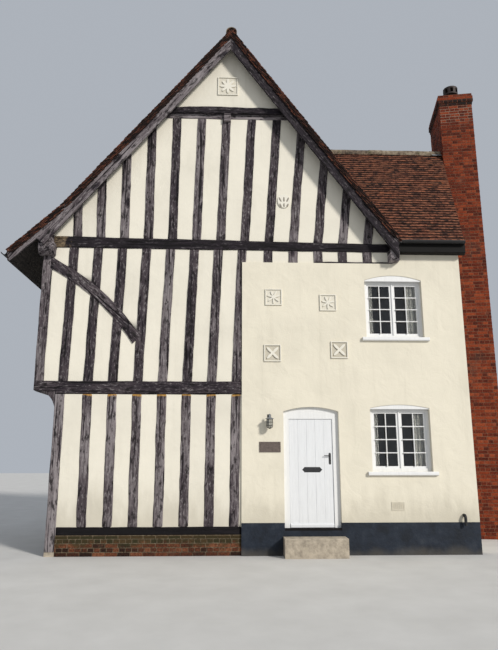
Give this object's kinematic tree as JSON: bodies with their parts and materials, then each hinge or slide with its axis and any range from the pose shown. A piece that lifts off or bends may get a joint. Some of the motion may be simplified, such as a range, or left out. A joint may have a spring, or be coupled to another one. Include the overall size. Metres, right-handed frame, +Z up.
{
  "type": "half timbered house",
  "caption": "Jettied timber-framed house with a tall front gable, tiled roofs, a rendered right half with an arched door and casement windows, and a brick end chimney.",
  "frame": {"origin": "on the ground-floor bed's underside, below the gable's ridge line and halfway through the house's depth", "axes": "+X to the right along the front as seen from the street, +Y into the house, +Z up"},
  "size_m": [10.7946, 5.088, 11.19],
  "materials": {
    "oak": "weathered",
    "plaster": "limewashed",
    "render": "painted",
    "brick": "weathered",
    "stone": "worn",
    "plinth_paint": "painted",
    "roof_tile": "weathered",
    "floor_boards": "worn",
    "door_paint": "painted",
    "joinery_paint": "painted",
    "glass": "clear",
    "iron": "black paint",
    "gutter_paint": "satin",
    "lead": "dull",
    "eaves_paint": "painted",
    "curtain": "striped",
    "plate_metal": "dull"
  },
  "bodies": {
    "house": {"air_brick": "brick", "back_wall": "render", "bargeboards": "oak", "brick_plinth": "brick", "casements": "joinery_paint", "chimney_cowl": "lead", "chimney_stack": "brick", "collar_beams": "oak", "corner_braces": "oak", "corner_posts": "oak", "curtains": "curtain", "door_frame": "joinery_paint", "door_hinges": "iron", "door_step": "stone", "door_stops": "joinery_paint", "eaves_boards": "eaves_paint", "first_floor": "floor_boards", "floor_joists": "oak", "front_wall_left": "render", "front_wall_over_door": "render", "front_wall_right": "render", "gable_infill": "plaster", "gable_peaks": "plaster", "gable_studs": "oak", "girding_beams": "oak", "ground_floor": "stone", "ground_infill": "plaster", "ground_studs": "oak", "gutters": "gutter_paint", "jetty_brackets": "oak", "jetty_plate": "oak", "lantern": "iron", "name_plate": "plate_metal", "padstones": "stone", "painted_plinth": "plinth_paint", "pargetting": "render", "party_wall": "plaster", "pentice_boards": "oak", "range_roof_back": "roof_tile", "range_roof_front": "roof_tile", "ridge_tiles": "roof_tile", "sole_plates": "oak", "threshold": "floor_boards", "tie_beams": "oak", "upper_infill": "plaster", "upper_studs": "oak", "vent_pipe": "gutter_paint", "wall_plates": "oak", "window_frames": "joinery_paint", "window_glass": "glass", "window_sills": "joinery_paint", "wing_roof_left": "roof_tile", "wing_roof_right": "roof_tile"},
    "front_door": {"door_leaf": "door_paint", "door_plates": "iron"},
    "door_lever": {"door_lever": "iron"}
  },
  "joints": [
    {"name": "front_door_hinge", "type": "hinge", "parent": "house", "child": "front_door", "pos_m": [1.13, -2.0887, 1.465], "axis": [0, 0, 1], "range_deg": [0, 90]},
    {"name": "door_lever_turn", "type": "hinge", "parent": "front_door", "child": "door_lever", "pos_m": [1.915, -2.118, 1.76], "axis": [0, -1, 0], "range_deg": [0, 35], "stiffness_Nm_per_rad": 0.6, "springref_deg": -34.38}
  ]
}
